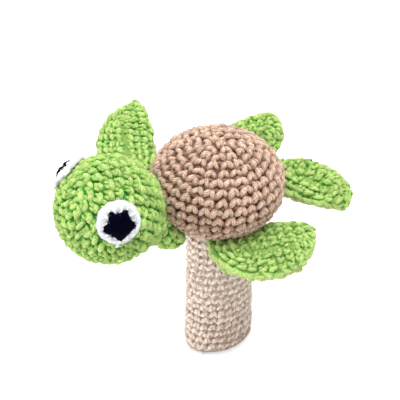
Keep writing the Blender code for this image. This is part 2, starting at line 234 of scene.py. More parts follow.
strand = {
    "sides": 7,
    "rings": 6,
    "ends": 0.62,     # thickness at the two ends, as a share
    "swell": 0.7,     # below 1 it thickens early, above 1 late
    "cap": 3.0,       # thickness over the height of a rounded end
}
# Paths in millimetres: start, two handles and end, each across, along the growth and out of the fabric.
# right, left and bar make a stitch; purl, riser and post its other side; rope is a link or a yarn's end.
strandShapes = {
    "right": {"path": ((-0.35, -1.35, -1.00), (0.10, -0.80, 0.95),
                       (1.55, 0.75, 0.95), (2.15, 1.35, -1.00)), "thick": 1.22},
    "left": {"path": ((-0.45, -1.45, -1.00), (-0.90, -0.70, 0.65),
                      (-1.40, 0.70, 0.70), (-1.75, 1.45, -1.00)), "thick": 1.18},
    "bar": {"path": ((-2.20, 1.85, -1.30), (-1.10, 1.95, -0.45),
                     (1.10, 1.95, -0.45), (2.20, 1.85, -1.30)), "thick": 0.80},
    "purl": {"path": ((-2.15, -0.45, -0.90), (-1.20, 0.05, 1.00),
                      (1.00, 0.60, 1.00), (2.05, 0.50, -0.90)), "thick": 1.18},
    "riser": {"path": ((0.15, -2.10, -1.00), (0.35, -1.60, 0.55),
                       (0.95, -0.90, 0.55), (1.45, -0.20, -0.60)), "thick": 0.95},
    "post": {"path": ((-1.75, -2.10, -1.00), (-1.65, -1.60, 0.45),
                      (-1.25, -0.90, 0.45), (-0.95, -0.20, -0.60)), "thick": 0.92},
    # the rope's raise lifts only its painted colour: less crevice shade, more crest highlight
    "rope": {"path": ((-0.55, -2.60, -1.00), (-0.75, -1.20, 0.45),
                      (0.75, 1.20, 0.45), (0.55, 2.60, -1.00)), "thick": 1.12, "raise": 1.4},
}


def linked(name, data):
    item = bpy.data.objects.new(name, data)
    bpy.context.scene.collection.objects.link(item)
    return item


def meshObject(name, mesh):
    data = bpy.data.meshes.new(name)
    mesh.to_mesh(data)
    mesh.free()
    data.shade_smooth()
    return linked(name, data)


def curveAt(handles, t):
    start, startHandle, endHandle, end = handles
    point = ((1 - t) ** 3 * start + 3 * t * (1 - t) ** 2 * startHandle
             + 3 * t ** 2 * (1 - t) * endHandle + t ** 3 * end)
    ahead = ((1 - t) ** 2 * (startHandle - start) + 2 * t * (1 - t) * (endHandle - startHandle)
             + t ** 2 * (end - endHandle))
    return point, ahead.normalized()


def strandMesh(name, shape):
    # a closed length of yarn; its uv runs along the strand and round it
    mesh = bmesh.new()
    uvs = mesh.loops.layers.uv.new("yarn")
    depth = mesh.verts.layers.float.new("depth")
    handles = [Vector(handle) / 1000 for handle in shape["path"]]
    thick = shape["thick"] / 1000
    sides, last = strand["sides"], strand["rings"] - 1
    rings, along = [], [0.0]
    for step in range(last + 1):
        t = step / last
        point, ahead = curveAt(handles, t)
        girth = thick * (strand["ends"] + (1 - strand["ends"]) * math.sin(math.pi * t) ** strand["swell"])
        side = ahead.cross(Vector((0, 0, 1))).normalized()
        top = side.cross(ahead).normalized()
        ring = []
        for corner in range(sides):
            angle = math.tau * corner / sides
            vert = mesh.verts.new(point + girth * (math.cos(angle) * side + math.sin(angle) * top))
            # depth is the height out of the fabric, plus a raise that only shifts the painted shade and
            # highlight
            vert[depth] = vert.co.z + shape.get("raise", 0.0) / 1000
            ring.append(vert)
        if rings:
            along.append(along[-1] + (point - before).length)
        rings.append(ring)
        before = point
    for step in range(last):
        for corner in range(sides):
            corners = [(step, corner), (step, corner + 1), (step + 1, corner + 1), (step + 1, corner)]
            face = mesh.faces.new([rings[ring][turn % sides] for ring, turn in corners])
            for loop, (ring, turn) in zip(face.loops, corners):
                loop[uvs].uv = (along[ring] * 1000, turn / sides)
    for ring, point, inner in ((rings[0], *handles[:2]), (rings[-1], *handles[:1:-1])):
        pole = mesh.verts.new(point - (inner - point).normalized() * thick / strand["cap"])
        pole[depth] = pole.co.z
        for corner in range(sides):
            mesh.faces.new((ring[corner], ring[(corner + 1) % sides], pole))
    bmesh.ops.recalc_face_normals(mesh, faces=mesh.faces[:])
    return meshObject(name, mesh)


def guideMesh(name, stitches):
    # bare points that carry each stitch's facing, growth and size
    data = bpy.data.meshes.new(name)
    data.from_pydata([tuple(point) for point, _, _, _ in stitches], [], [])
    for label, column in (("out", 1), ("grow", 2), ("size", 3)):
        layer = data.attributes.new(label, "FLOAT_VECTOR", "POINT")
        values = np.array([tuple(entry[column]) for entry in stitches], np.float32)
        layer.data.foreach_set("vector", values.ravel())
    return linked(name, data)


strands = {label: strandMesh(label + "Strand", shape) for label, shape in strandShapes.items()}
ropePath = strandShapes["rope"]["path"]
ropeLength = (ropePath[-1][1] - ropePath[0][1]) / 1000


# Parts that both geometry trees are built from

def eitherWay(tree, amount, seed):
    # a random vector whose parts lie between minus and plus an amount
    return addNode(tree, "FunctionNodeRandomValue",
                   {0: maths(tree, "MULTIPLY", amount, -1.0), 1: amount, "Seed": seed},
                   data_type="FLOAT_VECTOR").outputs[0]


def leant(tree, rotation, amount, seed):
    lean = addNode(tree, "FunctionNodeEulerToRotation", {"Euler": eitherWay(tree, amount, seed)})
    return addNode(tree, "FunctionNodeRotateRotation", {"Rotation": rotation, "Rotate By": lean.outputs[0]},
                   rotation_space="LOCAL").outputs[0]


def shaded(tree, instances, darkest, seed):
    # each instance carries a random shade, up to 1
    shade = addNode(tree, "FunctionNodeRandomValue", {2: darkest, 3: 1.0, "Seed": seed}, data_type="FLOAT")
    return addNode(tree, "GeometryNodeStoreNamedAttribute",
                   {"Geometry": instances, "Name": "shade", "Value": shade.outputs[1]},
                   data_type="FLOAT", domain="INSTANCE").outputs[0]


def finishTree(tree, parts, yarn, result):
    together = addNode(tree, "GeometryNodeJoinGeometry")
    for part in parts:
        tree.links.new(part, together.inputs[0])
    real = addNode(tree, "GeometryNodeRealizeInstances", {"Geometry": together.outputs[0]})
    finished = addNode(tree, "GeometryNodeSetMaterial", {"Geometry": real.outputs[0], "Material": yarn})
    tree.links.new(finished.outputs[0], result.inputs[0])
    return tree


# Crochet tree: up to three strands at each point of the guide, each a little out of true

strandSeedStep = 17


def buildCrochetTree():
    tree, given, result = newTree("crochet", "GeometryNodeTree", [
        ("Fabric", "NodeSocketGeometry", None),
        ("Guide", "NodeSocketObject", None),
        ("Right leg", "NodeSocketObject", None),
        ("Left leg", "NodeSocketObject", None),
        ("Bar", "NodeSocketObject", None),
        ("Plump", "NodeSocketFloat", 1.0),
        ("Loose", "NodeSocketFloat", 0.12),
        ("Uneven", "NodeSocketFloat", 0.1),
        ("Stray", "NodeSocketFloat", 0.0002),
        ("Seed", "NodeSocketInt", 1),
        ("Yarn", "NodeSocketMaterial", None),
    ], [("Geometry", "NodeSocketGeometry")])
    guide = addNode(tree, "GeometryNodeObjectInfo", {"Object": given.outputs["Guide"]})
    out, grow, size = (addNode(tree, "GeometryNodeInputNamedAttribute", {"Name": label},
                               data_type="FLOAT_VECTOR").outputs["Attribute"]
                       for label in ("out", "grow", "size"))
    facing = addNode(tree, "FunctionNodeAxesToRotation", {"Primary Axis": out, "Secondary Axis": grow},
                     primary_axis="Z", secondary_axis="Y").outputs[0]
    plump = addNode(tree, "ShaderNodeCombineXYZ", {"X": 1.0, "Y": 1.0, "Z": given.outputs["Plump"]})
    smallest = maths(tree, "SUBTRACT", 1.0, given.outputs["Uneven"])
    largest = maths(tree, "ADD", 1.0, given.outputs["Uneven"])
    parts = [given.outputs["Fabric"]]
    for step, label in enumerate(("Right leg", "Left leg", "Bar")):
        seed = maths(tree, "ADD", given.outputs["Seed"], float(step * strandSeedStep))
        grown = addNode(tree, "FunctionNodeRandomValue", {0: smallest, 1: largest, "Seed": seed},
                        data_type="FLOAT_VECTOR")
        strayed = addNode(tree, "GeometryNodeSetPosition",
                          {"Geometry": guide.outputs["Geometry"],
                           "Offset": eitherWay(tree, given.outputs["Stray"], seed)})
        piece = addNode(tree, "GeometryNodeObjectInfo", {"Object": given.outputs[label]})
        placed = addNode(tree, "GeometryNodeInstanceOnPoints",
                         {"Points": strayed.outputs[0], "Instance": piece.outputs["Geometry"],
                          "Rotation": leant(tree, facing, given.outputs["Loose"], seed),
                          "Scale": times(tree, times(tree, size, grown.outputs[0]), plump.outputs[0])})
        parts.append(shaded(tree, placed.outputs[0], 0.0, seed))
    return finishTree(tree, parts, given.outputs["Yarn"], result)


crochetTree = buildCrochetTree()


# Fuzz tree: loose fibres that stand off the strands

fibre = {
    "length": 0.001,
    "thick": 0.00004,
    "taper": 0.4,
    "sides": 3,
    "stands": 0.0003,    # depth above which a strand has fibres
    "darkest": 0.3,
    "seedStep": 3,       # from a piece's seed for its strands to the one for its fibres
}


def fibreMesh():
    mesh = bmesh.new()
    bmesh.ops.create_cone(mesh, cap_ends=True, segments=fibre["sides"], radius1=fibre["thick"],
                          radius2=fibre["thick"] * fibre["taper"], depth=fibre["length"],
                          matrix=Matrix.Translation((0, 0, fibre["length"] / 2)))
    return meshObject("fibre", mesh)


def buildFuzzTree():
    tree, given, result = newTree("fuzz", "GeometryNodeTree", [
        ("Knit", "NodeSocketGeometry", None),
        ("Fibre", "NodeSocketObject", None),
        ("Per square metre", "NodeSocketFloat", 150000.0),
        ("Shortest", "NodeSocketFloat", 0.6),
        ("Longest", "NodeSocketFloat", 1.8),
        ("Lean", "NodeSocketFloat", 0.9),
        ("Seed", "NodeSocketInt", 5),
        ("Yarn", "NodeSocketMaterial", None),
    ], [("Geometry", "NodeSocketGeometry")])
    seed = given.outputs["Seed"]
    depth = addNode(tree, "GeometryNodeInputNamedAttribute", {"Name": "depth"}, data_type="FLOAT")
    crest = addNode(tree, "FunctionNodeCompare", {0: depth.outputs["Attribute"], 1: fibre["stands"]},
                    data_type="FLOAT", operation="GREATER_THAN")
    spread = addNode(tree, "GeometryNodeDistributePointsOnFaces",
                     {"Mesh": given.outputs["Knit"], "Selection": crest.outputs[0],
                      "Density": given.outputs["Per square metre"], "Seed": seed})
    length = addNode(tree, "FunctionNodeRandomValue",
                     {2: given.outputs["Shortest"], 3: given.outputs["Longest"], "Seed": seed},
                     data_type="FLOAT").outputs[1]
    scale = addNode(tree, "ShaderNodeCombineXYZ", {"X": length, "Y": 1.0, "Z": length})
    piece = addNode(tree, "GeometryNodeObjectInfo", {"Object": given.outputs["Fibre"]})
    placed = addNode(tree, "GeometryNodeInstanceOnPoints",
                     {"Points": spread.outputs["Points"], "Instance": piece.outputs["Geometry"],
                      "Rotation": leant(tree, spread.outputs["Rotation"], given.outputs["Lean"], seed),
                      "Scale": scale.outputs[0]})
    parts = (given.outputs["Knit"], shaded(tree, placed.outputs[0], fibre["darkest"], 0))
    return finishTree(tree, parts, given.outputs["Yarn"], result)


fuzzTree = buildFuzzTree()
looseFibre = fibreMesh()


# Yarn look: plies, fibre streaks, flecks and uneven dye, with painted shade in the crevices and ply grooves
# and a painted highlight on the crests

grain = {
    "along": 0.8,           # streaks to a millimetre of strand
    "round": 4.0,           # streaks across a ply
    "apart": 40.0,          # keeps one strand's streaks from the next one's
    "streakScale": 1.6,
    "dyeScale": 120.0,
    "fleckScale": 1300.0,
    "detail": 3.0,
    "fleckDetail": 2.0,
    "fleckRoughness": 0.7,
    "crown": (0.15, 0.9),   # from groove to crown of a ply, where the painted crest highlight comes in
    "grooveCrest": 0.35,    # share of that painted highlight that a groove still has
    "grooveWidth": 0.7,
    "plyRelief": 0.75,
    "streakRelief": 0.35,
    "streakRange": (0.3, 0.7),
    "dull": (0.78, 0.98),   # roughness at the two ends of that range
}


def buildYarnLook():
    tree, given, result = newTree("yarnLook", "ShaderNodeTree", [
        ("UV", "NodeSocketVector", None),
        ("Object", "NodeSocketVector", None),
        ("Depth", "NodeSocketFloat", 0.0),
        ("Shade", "NodeSocketFloat", 0.5),
        # the crevice colour is painted shade and the crest colour a painted highlight; the body colour is
        # the yarn's own
        ("Crevice", "NodeSocketColor", None),
        ("Body", "NodeSocketColor", None),
        ("Crest", "NodeSocketColor", None),
        ("Plies", "NodeSocketFloat", 4.0),
        ("Twist", "NodeSocketFloat", 0.55),
        ("Uneven dye", "NodeSocketFloat", 0.2),
        ("Streaks", "NodeSocketFloat", 0.9),
        ("Flecks", "NodeSocketFloat", 0.5),
        # how bright the painted shade in the ply grooves leaves the yarn
        ("Ply shade", "NodeSocketFloat", 0.55),
        ("Crevice depth", "NodeSocketFloat", -0.35),
        ("Body height", "NodeSocketFloat", 0.8),
        ("Crest height", "NodeSocketFloat", 1.8),
    ], [("Colour", "NodeSocketColor"), ("Roughness", "NodeSocketFloat"), ("Height", "NodeSocketFloat")])
    wanted = given.outputs
    uv = addNode(tree, "ShaderNodeSeparateXYZ", {0: wanted["UV"]})
    phase = maths(tree, "ADD", maths(tree, "MULTIPLY", uv.outputs["Y"], wanted["Plies"]),
                  maths(tree, "MULTIPLY", uv.outputs["X"], wanted["Twist"]))
    ply = maths(tree, "ABSOLUTE", maths(tree, "SINE", maths(tree, "MULTIPLY", phase, math.pi)))
    streakSpace = addNode(tree, "ShaderNodeCombineXYZ",
                          {"X": maths(tree, "MULTIPLY", uv.outputs["X"], grain["along"]),
                           "Y": maths(tree, "MULTIPLY", phase, grain["round"]),
                           "Z": maths(tree, "MULTIPLY", wanted["Shade"], grain["apart"])})
    streak = noise(tree, streakSpace.outputs[0], grain["streakScale"], grain["detail"])
    dye = noise(tree, wanted["Object"], grain["dyeScale"], grain["detail"])
    fleck = noise(tree, wanted["Object"], grain["fleckScale"], grain["fleckDetail"],
                  grain["fleckRoughness"])

    # painted light by strand height: the crevice colour is painted shade where a strand dives into the
    # fabric
    level = maths(tree, "MULTIPLY", wanted["Depth"], 1000.0)
    low = ranged(tree, level, wanted["Crevice depth"], wanted["Body height"])
    # the crest colour is a painted highlight, strongest on strand tops and ply crowns
    high = maths(tree, "MULTIPLY", ranged(tree, level, wanted["Body height"], wanted["Crest height"]),
                 ranged(tree, ply, *grain["crown"], grain["grooveCrest"], 1.0))
    colour = mixed(tree, low, wanted["Crevice"], wanted["Body"])
    colour = mixed(tree, high, colour, wanted["Crest"])

    patch = maths(tree, "ADD", maths(tree, "MULTIPLY", wanted["Shade"], 0.5),
                  maths(tree, "MULTIPLY", dye, 0.5))
    marks = maths(tree, "ADD", swing(tree, streak, wanted["Streaks"]), swing(tree, fleck, wanted["Flecks"]))
    bright = maths(tree, "ADD", maths(tree, "ADD", swing(tree, patch, wanted["Uneven dye"]), marks), 1.0)
    # painted shade in the ply grooves: the yarn is darkest where the ply phase is lowest
    bright = maths(tree, "MULTIPLY", bright,
                   ranged(tree, ply, 0.0, grain["grooveWidth"], wanted["Ply shade"], 1.0))
    grey = addNode(tree, "ShaderNodeCombineXYZ", {"X": bright, "Y": bright, "Z": bright})
    colour = mixed(tree, 1.0, colour, grey.outputs[0], "MULTIPLY")
    height = maths(tree, "ADD", maths(tree, "MULTIPLY", ply, grain["plyRelief"]),
                   maths(tree, "MULTIPLY", streak, grain["streakRelief"]))
    rough = ranged(tree, streak, *grain["streakRange"], *grain["dull"])
    for label, value in (("Colour", colour), ("Roughness", rough), ("Height", height)):
        tree.links.new(value, result.inputs[label])
    return tree


yarnLook = buildYarnLook()
plainYarn = {"plies": 5.0, "twist": 0.45, "uneven": 0.3, "streaks": 0.9, "flecks": 2.0, "plyGrooveShade": 0.55,
             "relief": 0.8, "reliefDepth": 0.00025, "gloss": 0.12, "sheen": 0.35, "sheenRoughness": 0.6}
# each yarn's crevice colour is painted shade in its hollows and its crest colour a painted highlight on
# strand tops; its body colour is the yarn's own
yarns = {
    "shell": {"crevice": (0.26, 0.115, 0.085), "body": (0.54, 0.365, 0.27), "crest": (0.73, 0.565, 0.44),
              "streaks": 1.3, "plies": 8.0, "twist": 0.8, "plyGrooveShade": 0.5},
    "tube": {"crevice": (0.64, 0.43, 0.34), "body": (0.87, 0.71, 0.61), "crest": (0.94, 0.84, 0.76),
             "streaks": 1.4, "plies": 9.0, "twist": 1.1},
    "green": {"crevice": (0.03, 0.34, 0.03), "body": (0.36, 0.54, 0.14), "crest": (0.49, 0.59, 0.24),
              "uneven": 0.45, "flecks": 1.5, "plies": 7.0, "twist": 0.8, "plyGrooveShade": 0.72},
    "white": {"crevice": (0.46, 0.50, 0.56), "body": (0.76, 0.78, 0.79), "crest": (0.85, 0.85, 0.85),
              "streaks": 0.5, "flecks": 0.6, "plies": 7.0, "twist": 0.8, "plyGrooveShade": 0.8},
    "black": {"crevice": (0.0002, 0.0004, 0.010), "body": (0.0004, 0.0008, 0.016),
              "crest": (0.0010, 0.0018, 0.028), "sheen": 0.0, "gloss": 0.03},
}


def yarnMaterial(name, look):
    look = {**plainYarn, **look}
    material, tree, shader = newMaterial(name)
    uv = addNode(tree, "ShaderNodeUVMap", uv_map="yarn")
    place = addNode(tree, "ShaderNodeTexCoord")
    depth = addNode(tree, "ShaderNodeAttribute", attribute_name="depth")
    shade = addNode(tree, "ShaderNodeAttribute", attribute_name="shade")
    group = addNode(tree, "ShaderNodeGroup", node_tree=yarnLook)
    for label, value in (("UV", uv.outputs["UV"]), ("Object", place.outputs["Object"]),
                         ("Depth", depth.outputs["Fac"]), ("Shade", shade.outputs["Fac"])):
        tree.links.new(value, group.inputs[label])
    for label in ("Crevice", "Body", "Crest"):
        group.inputs[label].default_value = rgba(*look[label.lower()])
    for label, key in (("Plies", "plies"), ("Twist", "twist"), ("Uneven dye", "uneven"),
                       ("Streaks", "streaks"), ("Flecks", "flecks"), ("Ply shade", "plyGrooveShade")):
        group.inputs[label].default_value = look[key]
    bump = addNode(tree, "ShaderNodeBump", {"Strength": look["relief"], "Distance": look["reliefDepth"],
                                            "Height": group.outputs["Height"]})
    tree.links.new(group.outputs["Colour"], shader.inputs["Base Color"])
    tree.links.new(group.outputs["Roughness"], shader.inputs["Roughness"])
    tree.links.new(bump.outputs["Normal"], shader.inputs["Normal"])
    shader.inputs["Specular IOR Level"].default_value = look["gloss"]
    shader.inputs["Sheen Weight"].default_value = look["sheen"]
    shader.inputs["Sheen Roughness"].default_value = look["sheenRoughness"]
    shader.inputs["Sheen Tint"].default_value = rgba(*look["crest"])
    return material


yarnOf = {label: yarnMaterial(label + "Yarn", look) for label, look in yarns.items()}
print("yarns mixed:", ", ".join(yarnOf))


# Pieces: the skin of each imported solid, drawn in a little, with its stitches laid over it

def fabricFrom(look, weld=1e-6):
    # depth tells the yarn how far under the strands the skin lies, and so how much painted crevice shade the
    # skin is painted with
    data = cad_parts[look["node"]].data.copy()
    mesh = bmesh.new()
    mesh.from_mesh(data)
    bmesh.ops.remove_doubles(mesh, verts=mesh.verts[:], dist=weld)
    mesh.normal_update()
    depth = mesh.verts.layers.float.new("depth")
    for vert in mesh.verts:
        vert.co -= vert.normal * look["sink"]
        # a skin set below the crevice depth is painted fully in crevice shade
        vert[depth] = -look["lining"]
    mesh.to_mesh(data)
    mesh.free()
    data.materials.clear()
    data.shade_smooth()
    return linked(look["node"] + "Fabric", data)


def applied(item, tree, settings):
    # puts an object through a geometry tree and keeps the result as its mesh
    modifier = item.modifiers.new(tree.name, "NODES")
    modifier.node_group = tree
    for label, value in settings.items():
        setInput(modifier, label, value)
    bpy.context.view_layer.update()
    data = bpy.data.meshes.new_from_object(item.evaluated_get(bpy.context.evaluated_depsgraph_get()))
    item.modifiers.remove(modifier)
    item.data = data


def work(piece, look, found, kinds):
    # lays strands of the given kinds at every place found
    laid = [(point - out * look["lay"], out, grow, size) for point, out, grow, size in found]
    guide = guideMesh(piece.name + "Guide", laid)
    settings = {"Guide": guide, "Yarn": yarnOf[look["yarn"]]}
    settings.update({label: strands[kind] for label, kind in kinds.items()})
    settings.update({label: look[label.lower()] for label in ("Plump", "Loose", "Uneven", "Stray", "Seed")})
    applied(piece, crochetTree, settings)
    bpy.data.objects.remove(guide)


def crochet(name, look, stitches, links=()):
    # a whole piece: its skin, then its stitches, its links and its fibres
    piece = fabricFrom(look)
    piece.name = name
    if stitches:
        kinds = ("purl", "riser", "post") if look.get("turned") else ("right", "left", "bar")
        work(piece, look, stitches, dict(zip(("Right leg", "Left leg", "Bar"), kinds)))
    if links:
        work(piece, look, links, {"Right leg": "rope"})
    if look["fuzz"]:
        applied(piece, fuzzTree, {"Fibre": looseFibre, "Per square metre": look["fuzz"],
                                  "Seed": look["seed"] + fibre["seedStep"],
                                  "Yarn": yarnOf[look["yarn"]]})
    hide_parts(look["node"])
    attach(piece, "root")
    print(name, "worked:", len(stitches), "stitches,", len(piece.data.polygons), "faces")
    return piece


def insideBody(point):
    # whether a stitch would lie within the shell
    away = point - bodyShape["centre"]
    if away.z < -bodyShape["drop"] - bodyShape["under"]:
        return False
    radius = math.hypot(away.x, away.y) / (bodyShape["radius"] + bodyShape["margin"])
    return radius ** 2 + (away.z / (bodyShape["rise"] + bodyShape["margin"])) ** 2 < 1.0


# Shell: a flattened ball worked from its top down, with a chain round its rim
shellLook = {"node": "shell", "slot": "shell_yarn", "yarn": "shell", "sink": 0.0008, "lining": 0.0007,
             "lay": 0.0005, "plump": 1.05, "loose": 0.26, "uneven": 0.2, "stray": 0.00015,
             "fuzz": 900000.0, "seed": 11, "spare": 0.0008, "first": 0.35}
shellChain = {"inset": 0.0003, "link": gauge["stitch"], "width": 0.9, "sink": 0.0003, "tip": 0.6}
shellAngle = -math.degrees(math.asin(bodyShape["drop"] / bodyShape["rise"]))
shellProfile = ovalArc(bodyShape["radius"], bodyShape["rise"], 90.0, shellAngle)
shellSurface, shellLength = surfaceFrom(shellProfile, turned(Matrix.Translation(bodyShape["centre"])))
shell = crochet("shellCrochet", shellLook,
                spiralStitches(shellSurface, shellLength, gauge["stitch"], spare=shellLook["spare"],
                               first=shellLook["first"]),
                edgeLinks(shellSurface, shellLength - shellChain["inset"], shellChain))

# Belly: the disc that closes the shell from below, bare where the tube's end hides it
bellyLook = {"node": "belly", "slot": "shell_yarn", "yarn": "shell", "sink": 0.0008, "lining": 0.0007,
             "lay": 0.0003, "plump": 0.8, "loose": 0.15, "uneven": 0.12, "stray": 0.0001, "fuzz": 0.0,
             "seed": 12, "bare": 0.008, "flatness": 4}
rimRadius = shellProfile[-1, 0] - bodyShape["fabric"]
bellyRadii = np.linspace(0.0, rimRadius, fineness["curve"])
bellyHeights = -bodyShape["bulge"] * (bellyRadii / rimRadius) ** bellyLook["flatness"]
bellyLow = bodyShape["centre"].z - bodyShape["drop"] - bodyShape["bulge"]
bellyPlace = Matrix.Translation((0.0, bodyShape["centre"].y, bellyLow)) @ Matrix.Rotation(math.pi, 4, "X")
bellySurface, bellyLength = surfaceFrom(np.stack([bellyRadii, bellyHeights], axis=1), turned(bellyPlace))
crochet("bellyCrochet", bellyLook,
        [entry for entry in spiralStitches(bellySurface, bellyLength, gauge["stitch"])
         if math.hypot(entry[0].x, entry[0].y) > bellyLook["bare"]])

# Finger tube: oval, open below, its mouth finished with a chain and lined for a few rounds
tubeLook = {"node": "finger_tube", "slot": "tube_yarn", "yarn": "tube", "sink": 0.0004, "lining": -0.0004,
            "lay": 0.0007, "plump": 0.75, "loose": 0.24, "uneven": 0.14, "stray": 0.00012,
            "fuzz": 400000.0, "seed": 13}
tube = {"length": 0.0655, "halfDepth": 0.0148, "halfWidth": 0.0106, "shoulder": 0.0040, "taper": 0.0009,
        "stitch": 0.0034, "row": 0.0035, "linedRounds": 4, "liningTaper": 0.0004, "liningLay": 0.0009}
tubeChain = {"inset": 0.0011, "link": tube["stitch"], "width": 1.0, "sink": 0.0004, "tip": 0.4}
tubeTail = {"inset": 0.0006, "turn": 0.855, "size": 0.6}


def tubeProfile(inward=0.0):
    mouth = tube["halfWidth"] - inward
    radius = mouth - tube["taper"]
    top = tube["length"] - inward
    shoulder = tube["shoulder"] * radius / tube["halfWidth"]
    corner = bezier((radius - shoulder, top), (radius, top), (radius, top), (radius, top - shoulder))
    return np.concatenate([corner, np.array([[mouth, 0.0]])])


def tubeStitches(surface, end):
    return spiralStitches(surface, end, tube["stitch"], tube["row"], spare=tubeChain["inset"])


oval = tube["halfDepth"] / tube["halfWidth"]
tubeSurface, tubeEnd = surfaceFrom(tubeProfile(), turned(Matrix.Identity(4), oval))
inside = tubeProfile(bodyShape["fabric"])[-1, 0]
lining = np.array([[inside - tube["liningTaper"], tube["linedRounds"] * gauge["row"]], [inside, 0.0]])
liningStitches = tubeStitches(*surfaceFrom(lining, turned(Matrix.Identity(4), oval, -1.0)))
crochet("tubeCrochet", tubeLook,
        tubeStitches(tubeSurface, tubeEnd)
        + [(point - out * tube["liningLay"], out, grow, size) for point, out, grow, size in liningStitches],
        edgeLinks(tubeSurface, tubeEnd - tubeChain["inset"], tubeChain)
        + [tailAt(tubeSurface, tubeEnd - tubeTail["inset"], tubeTail["turn"], tubeTail["size"])])

# Head: a ball that narrows to a neck, worked from the nose with the fabric's other side out
headLook = {"node": "head", "turned": True, "slot": "green_yarn", "yarn": "green", "sink": 0.0008,
            "lining": 0.0003, "lay": 0.0006, "plump": 0.95, "loose": 0.3, "uneven": 0.22, "stray": 0.00025,
            "fuzz": 1300000.0, "seed": 14, "first": 0.35}
head = {"centre": Vector((0.0, -0.0496, 0.0880)), "neckEnd": Vector((0.0, -0.0239, 0.0670)),
        "radius": 0.0199, "neckRadius": 0.0066, "endRadius": 0.0072, "neckStart": 125.0, "stitch": 0.0043,
        "leavePull": 0.5, "waistPull": 0.2, "bulgeFrom": 0.3, "bulgeTo": 0.4}


def headProfile():
    start = math.radians(head["neckStart"])
    leave = Vector((head["radius"] * math.sin(start), head["radius"] * math.cos(start)))
    slope = Vector((math.cos(start), -math.sin(start)))
    end = -(head["centre"] - head["neckEnd"]).length
    waist = Vector((head["neckRadius"], end + head["endRadius"]))
    run = (leave - waist).length
    return np.concatenate([
        ovalArc(head["radius"], head["radius"], 90.0, 90.0 - head["neckStart"]),
        bezier(leave, leave + slope * run * head["leavePull"],
               waist + Vector((0.0, run * head["waistPull"])), waist)[1:],
        bezier(waist, waist - Vector((0.0, head["endRadius"] * head["bulgeFrom"])),
               (head["endRadius"], end + head["endRadius"] * head["bulgeTo"]), (head["endRadius"], end))[1:],
        (ovalArc(head["endRadius"], head["endRadius"], 0.0, -90.0) + np.array([0.0, end]))[1:]])


headTurn = (head["centre"] - head["neckEnd"]).to_track_quat("Z", "X").to_matrix().to_4x4()
headPlace = turned(Matrix.Translation(head["centre"]) @ headTurn)
headSurface, headLength = surfaceFrom(headProfile(), headPlace)
eye = {"radius": 0.0081, "stand": 0.0036, "rim": 0.0018, "pupil": 0.0056, "pupilLow": 0.0008,
       "starDepth": 0.30, "starDown": 0.9, "down": 0.75, "points": 5, "lap": 0.0006, "chain": 0.0072,
       "covers": 0.62,      # share of its radius within which the head has no stitches
       "legs": 3,           # white legs to each point of the star
       "legLay": 0.0005, "pupilLay": 0.0009, "thick": 0.8}
gazes = {"left": Vector((0.869, -0.288, 0.403)), "right": Vector((-0.770, -0.376, 0.516))}


def underEye(point):
    away = point - head["centre"]
    covered = eye["covers"] * eye["radius"] / head["radius"]
    return any(away.angle(gaze) < covered for gaze in gazes.values())


headPiece = crochet("headCrochet", headLook,
                    [entry for entry in spiralStitches(headSurface, headLength, head["stitch"],
                                                       first=headLook["first"])
                     if not insideBody(entry[0]) and not underEye(entry[0])])

# Eyes: a white round about a black star
ringLook = {"slot": "white_yarn", "yarn": "white", "sink": 0.0002, "lining": -0.0006, "lay": 0.0004,
            "plump": 0.7, "loose": 0.25, "uneven": 0.2, "stray": 0.0002, "fuzz": 400000.0, "seed": 20}
pupilLook = {"slot": "black_yarn", "yarn": "black", "sink": 0.0, "lining": 0.0002, "lay": 0.0,
             "plump": 0.6, "loose": 0.03, "uneven": 0.03, "stray": 0.0, "fuzz": 0.0, "seed": 30}
eyeChain = {"link": 0.0034, "width": 1.0, "sink": 0.0003, "tip": 0.5}
eyeTail = {"eye": "left", "past": 0.0002, "turn": 0.88, "size": 0.6}


def star(turn):
    # from the middle of an eye to the edge of its star
    wave = (eye["points"] * turn + 0.5) % 1.0
    radius = eye["pupil"] * (1.0 - eye["starDepth"] * (1.0 - abs(2.0 * wave - 1.0)))
    return radius + eye["pupilLow"] * math.cos(math.tau * (turn - eye["starDown"]))


def eyeFace(gaze):
    # the outer face of an eye, by distance from its middle and turn round it
    turn = Matrix.Rotation(-math.tau * (eye["starDown"] - eye["down"]), 4, "Z")
    matrix = Matrix.Translation(head["centre"]) @ gaze.to_track_quat("Z", "Y").to_matrix().to_4x4() @ turn

    def surface(distance, turn):
        share = min(distance / eye["radius"], 1.0)
        height = head["radius"] + eye["rim"] + (eye["stand"] - eye["rim"]) * (1.0 - share ** 2)
        tilt = distance / head["radius"]
        angle = math.tau * turn
        away = Vector((math.sin(tilt) * math.cos(angle), math.sin(tilt) * math.sin(angle), math.cos(tilt)))
        return matrix @ (height * away)

    return surface


def ringStitches(surface):
    # short legs from the star's edge out to the chain
    found = []
    count = eye["legs"] * eye["points"]
    for index in range(count):
        turn = (index + 0.5) / count
        inner = star(turn) - eye["lap"]
        middle = (inner + eye["chain"]) / 2
        point, out, grow = stitchFrame(surface, middle, turn)
        size = (math.tau * middle / count / gauge["stitch"], (eye["chain"] - inner) / gauge["row"],
                eye["thick"])
        found.append((point - out * eye["legLay"], out, grow, size))
    return found


def pupilStitches(surface):
    # one strand out to each point of the star
    found = []
    for index in range(eye["points"]):
        turn = (index + 0.5) / eye["points"]
        point, out, grow = stitchFrame(surface, star(turn) / 2, turn)
        found.append((point - out * eye["pupilLay"], out, grow,
                      (eye["thick"], star(turn) / ropeLength, eye["thick"])))
    return found


for word, gaze in gazes.items():
    face = eyeFace(gaze)
    links = edgeLinks(face, eye["chain"], eyeChain)
    if word == eyeTail["eye"]:
        links.append(tailAt(face, eye["radius"] + eyeTail["past"], eyeTail["turn"], eyeTail["size"]))
    crochet("eyeRing_" + word, dict(ringLook, node="eye_ring_" + word), ringStitches(face), links)
    crochet("eyePupil_" + word, dict(pupilLook, node="eye_pupil_" + word), (), pupilStitches(face))

